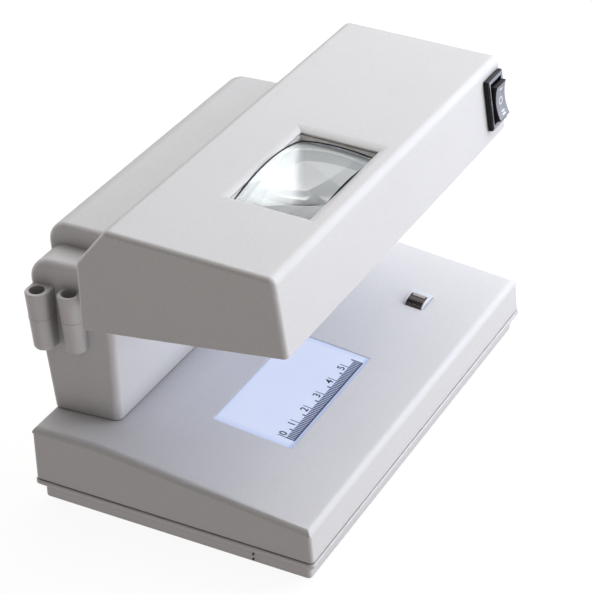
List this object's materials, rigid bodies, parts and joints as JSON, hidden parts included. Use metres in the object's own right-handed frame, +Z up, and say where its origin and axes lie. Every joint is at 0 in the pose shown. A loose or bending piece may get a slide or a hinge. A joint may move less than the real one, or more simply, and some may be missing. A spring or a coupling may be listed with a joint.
{
  "type": "counterfeit bill detector",
  "caption": "Desktop banknote checker: overhanging lamp head with magnifier window, backlit ruler window, magnetic head in a sloping base, and a rocker switch.",
  "frame": {"origin": "on the floor, at the centre of the bounding box of the object's plan", "axes": "+X is the object's right seen from the front, -Y is the front, +Z is up"},
  "size_m": [0.1832, 0.1191, 0.1241],
  "materials": {
    "white_shell": "fine matte texture, off-white",
    "steel": "polished steel",
    "rubber": "matte",
    "opal": "smooth opal diffuser, lit from below",
    "lamp_white": "white fluorescent tube",
    "aluminium": "satin",
    "dark_plastic": "satin black",
    "board": "lacquered circuit board",
    "copper": "copper",
    "glass": "clear, polished",
    "lens_white": "matte",
    "uv_glass": "dark violet filter glass",
    "brass": "stamped",
    "wire": "red insulation",
    "black_wire": "black insulation"
  },
  "bodies": {
    "frame": {"base_top_shell": "white_shell", "base_tray": "white_shell", "tray_screw_front_left": "steel", "foot_front_left": "rubber", "tray_screw_front_right": "steel", "foot_front_right": "rubber", "tray_screw_rear_left": "steel", "foot_rear_left": "rubber", "tray_screw_rear_right": "steel", "foot_rear_right": "rubber", "column_screw_left": "steel", "column_screw_right": "steel", "watermark_window": "opal", "white_lamp_glass": "lamp_white", "white_lamp_cap_left": "aluminium", "white_lamp_holder_left": "white_shell", "white_lamp_cap_right": "aluminium", "white_lamp_holder_right": "white_shell", "white_lamp_reflector": "aluminium", "magnetic_head": "steel", "magnetic_head_holder": "dark_plastic", "amplifier_board": "board", "buzzer": "dark_plastic", "rear_housing": "white_shell", "rear_cover": "white_shell", "cover_screw_left": "steel", "cover_screw_right": "steel", "power_inlet": "dark_plastic", "ballast_core": "steel", "ballast_winding": "copper", "lamp_driver_board": "board", "capacitor": "dark_plastic", "head_shell": "white_shell", "magnifier_lens": "glass", "lens_frame": "lens_white", "uv_lamp_glass": "uv_glass", "uv_lamp_cap_left": "aluminium", "uv_lamp_socket_left": "white_shell", "uv_lamp_cap_right": "aluminium", "uv_lamp_socket_right": "white_shell", "uv_reflector": "aluminium", "underside_panel": "white_shell", "head_screw_left": "steel", "head_screw_right": "steel", "switch_body": "dark_plastic", "switch_terminal_lower": "brass", "switch_terminal_middle": "brass", "switch_terminal_upper": "brass", "lamp_wire": "wire", "switch_wire": "black_wire", "base_wire": "wire"},
    "rocker": {"switch_rocker": "dark_plastic"},
    "contact_lever": {"switch_contact_lever": "copper"}
  },
  "joints": [
    {"name": "rocker_tilt", "type": "hinge", "parent": "frame", "child": "rocker", "pos_m": [0.0815, -0.04826, 0.10754], "axis": [1, 0, 0], "range_deg": [-11, 11]},
    {"name": "lever_tilt", "type": "hinge", "parent": "frame", "child": "contact_lever", "pos_m": [0.0815, -0.03994, 0.1064], "axis": [1, 0, 0], "range_deg": [-5, 5]}
  ],
  "couplings": [
    {"joint": "lever_tilt", "follows": "rocker_tilt", "ratio": -0.4}
  ]
}
